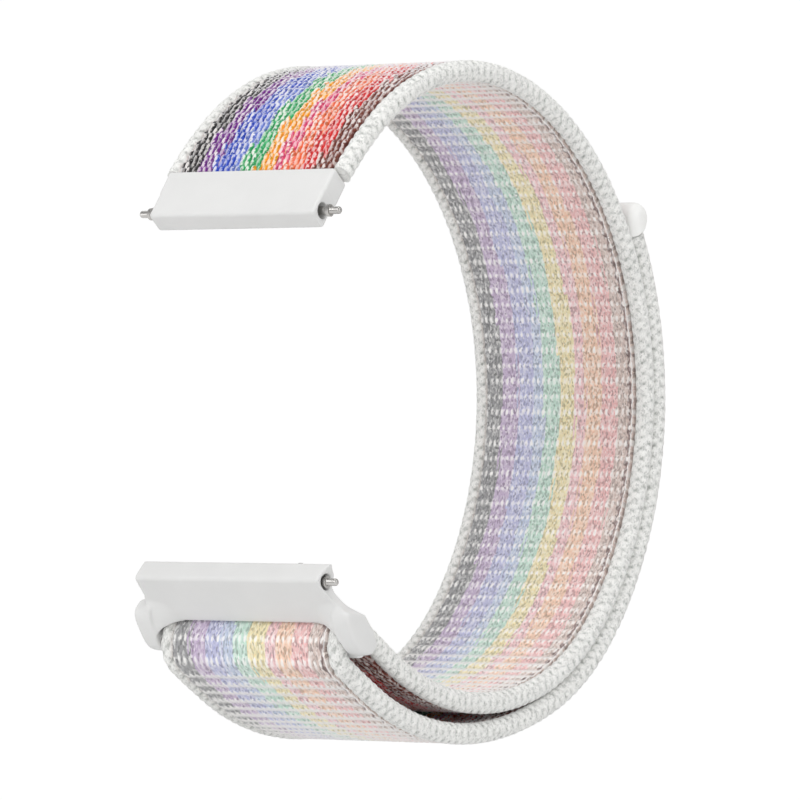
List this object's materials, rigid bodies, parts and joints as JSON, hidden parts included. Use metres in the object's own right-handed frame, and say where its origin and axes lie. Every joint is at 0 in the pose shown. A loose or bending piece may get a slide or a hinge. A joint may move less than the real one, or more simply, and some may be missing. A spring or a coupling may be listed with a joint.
{
  "type": "hook and loop watch strap",
  "caption": "Woven strap closed to a wrist's size, folded back through a slotted bracket and held by hooks on its pile, with a quick release spring bar at each end.",
  "frame": {"origin": "halfway between the axes of the two spring bars, in the middle of the strap's width", "axes": "+X across the strap, towards the release levers; +Y from the watch to the back of the loop; +Z from the slotted bracket to the top adapter"},
  "size_m": [0.0252, 0.0628, 0.0667],
  "materials": {
    "moulding": "satin",
    "steel": "polished",
    "edge_cord": "braided",
    "pile": "loop pile with lengthwise stripes",
    "ribbed": "ribbed, with pale lengthwise stripes",
    "hook": "hook tape",
    "plug": "welded"
  },
  "bodies": {
    "loop": {"top_adapter": "moulding", "strap_end_plug": "plug", "top_bar_tube": "steel", "top_bar_fixed_pin": "steel", "top_bar_spring": "steel", "main_pile_layer": "pile", "main_ribbed_layer": "ribbed", "main_edge_cord_left": "edge_cord", "main_edge_cord_right": "edge_cord"},
    "bracket": {"bracket_frame": "moulding", "bottom_bar_tube": "steel", "bottom_bar_fixed_pin": "steel", "bottom_bar_spring": "steel"},
    "top_release": {"top_bar_sliding_pin": "steel", "top_release_lever": "steel"},
    "bottom_release": {"bottom_bar_sliding_pin": "steel", "bottom_release_lever": "steel"},
    "tail_base": {"tail_base_pile_layer": "pile", "tail_base_ribbed_layer": "ribbed", "tail_base_edge_cord_left": "edge_cord", "tail_base_edge_cord_right": "edge_cord"},
    "tail_end": {"tail_end_ribbed_layer": "ribbed", "hook_patch": "hook", "tail_end_edge_cord_left": "edge_cord", "tail_end_edge_cord_right": "edge_cord", "end_tab": "moulding"}
  },
  "joints": [
    {"name": "top_release_slide", "type": "slide", "parent": "loop", "child": "top_release", "axis": [-1, 0, 0], "range_m": [0, 0.0013], "stiffness_N_per_m": 300, "deforming": ["top_bar_spring"]},
    {"name": "bottom_release_slide", "type": "slide", "parent": "bracket", "child": "bottom_release", "axis": [-1, 0, 0], "range_m": [0, 0.0013], "stiffness_N_per_m": 300, "deforming": ["bottom_bar_spring"]},
    {"name": "bracket_swivel", "type": "hinge", "parent": "loop", "child": "bracket", "pos_m": [0, 0.00457, -0.02381], "axis": [-1, 0, 0], "range_deg": [-20, 20]},
    {"name": "tail_swing", "type": "hinge", "parent": "loop", "child": "tail_base", "pos_m": [0, 0.00471, -0.0277], "axis": [-1, 0, 0], "range_deg": [0, 70]},
    {"name": "tail_peel", "type": "hinge", "parent": "tail_base", "child": "tail_end", "pos_m": [0, 0.06013, -0.00742], "axis": [-1, 0, 0], "range_deg": [0, 100]}
  ]
}
